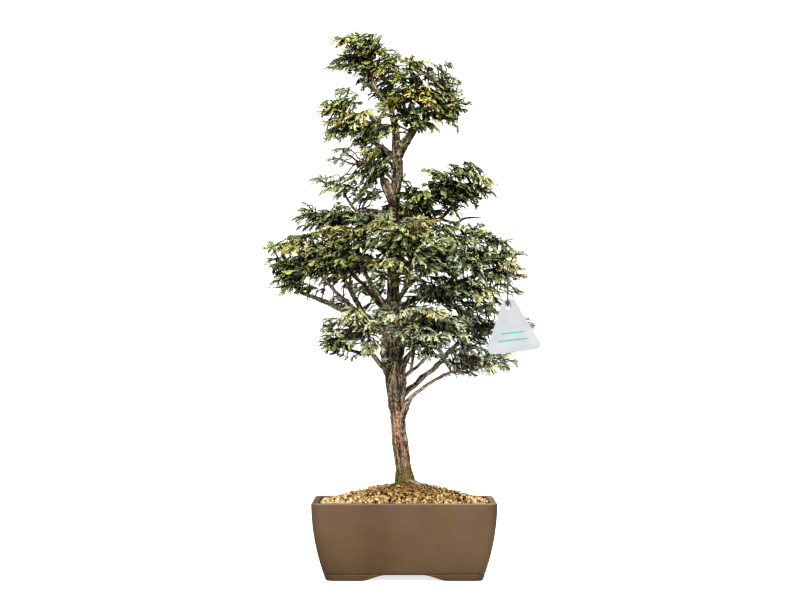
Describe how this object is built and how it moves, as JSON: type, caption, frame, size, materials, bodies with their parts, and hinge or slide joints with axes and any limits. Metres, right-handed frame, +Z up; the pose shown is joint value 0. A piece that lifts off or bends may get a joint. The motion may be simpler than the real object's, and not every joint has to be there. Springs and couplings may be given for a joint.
{
  "type": "hinoki cypress bonsai",
  "caption": "Upright hinoki cypress bonsai: slim barked trunk, tiered limbs of flat fan-like scale foliage, mounded grit in a footed rectangular clay pot, blank hanging label.",
  "frame": {"origin": "on the surface that the pot stands on, under the middle of the crown's spread; the pot's own middle is 6.7 mm towards +X", "axes": "+Z up along the trunk, -Y the front that the tree is shown from, +X to the right seen from the front, along the pot's long side"},
  "size_m": [0.2322, 0.1421, 0.4614],
  "materials": {
    "pot_clay": "matte",
    "grit": "matte",
    "screen_plastic": "satin",
    "clip_wire": "satin",
    "moss": "matte",
    "bark": "matte",
    "leaf_upper": "satin",
    "leaf_lower": "satin",
    "label_plastic": "satin",
    "cord_fibre": "matte"
  },
  "bodies": {
    "root": {"branch_back_left": "bark", "branch_back_low": "bark", "branch_back_right": "bark", "branch_back_top": "bark", "branch_back_upper": "bark", "branch_crown_right": "bark", "branch_front": "bark", "branch_left": "bark", "branch_left_third": "bark", "branch_left_upper": "bark", "branch_low_front_right": "bark", "branch_low_left": "bark", "branch_low_right": "bark", "branch_lowest_right": "bark", "branch_mid_left": "bark", "branch_right": "bark", "branch_top_left": "bark", "branch_upper_left": "bark", "branch_upper_right": "bark", "drain_screen_left": "screen_plastic", "drain_screen_right": "screen_plastic", "foliage_apex": "leaf_upper", "foliage_back_left": "leaf_upper", "foliage_back_low": "leaf_lower", "foliage_back_right": "leaf_upper", "foliage_back_top": "leaf_upper", "foliage_back_upper": "leaf_upper", "foliage_crown_right": "leaf_upper", "foliage_front": "leaf_upper", "foliage_left": "leaf_upper", "foliage_left_third": "leaf_upper", "foliage_low_left": "leaf_lower", "foliage_low_right": "leaf_lower", "foliage_low_right_back": "leaf_lower", "foliage_lowest_right": "leaf_lower", "foliage_mid_left": "leaf_upper", "foliage_right": "leaf_upper", "foliage_top_left": "leaf_upper", "foliage_upper_left": "leaf_upper", "foliage_upper_right": "leaf_upper", "label": "label_plastic", "label_cord": "cord_fibre", "moss_left": "moss", "moss_right": "moss", "pot": "pot_clay", "screen_clip_left": "clip_wire", "screen_clip_right": "clip_wire", "soil": "grit", "trunk": "bark"}
  },
  "joints": []
}
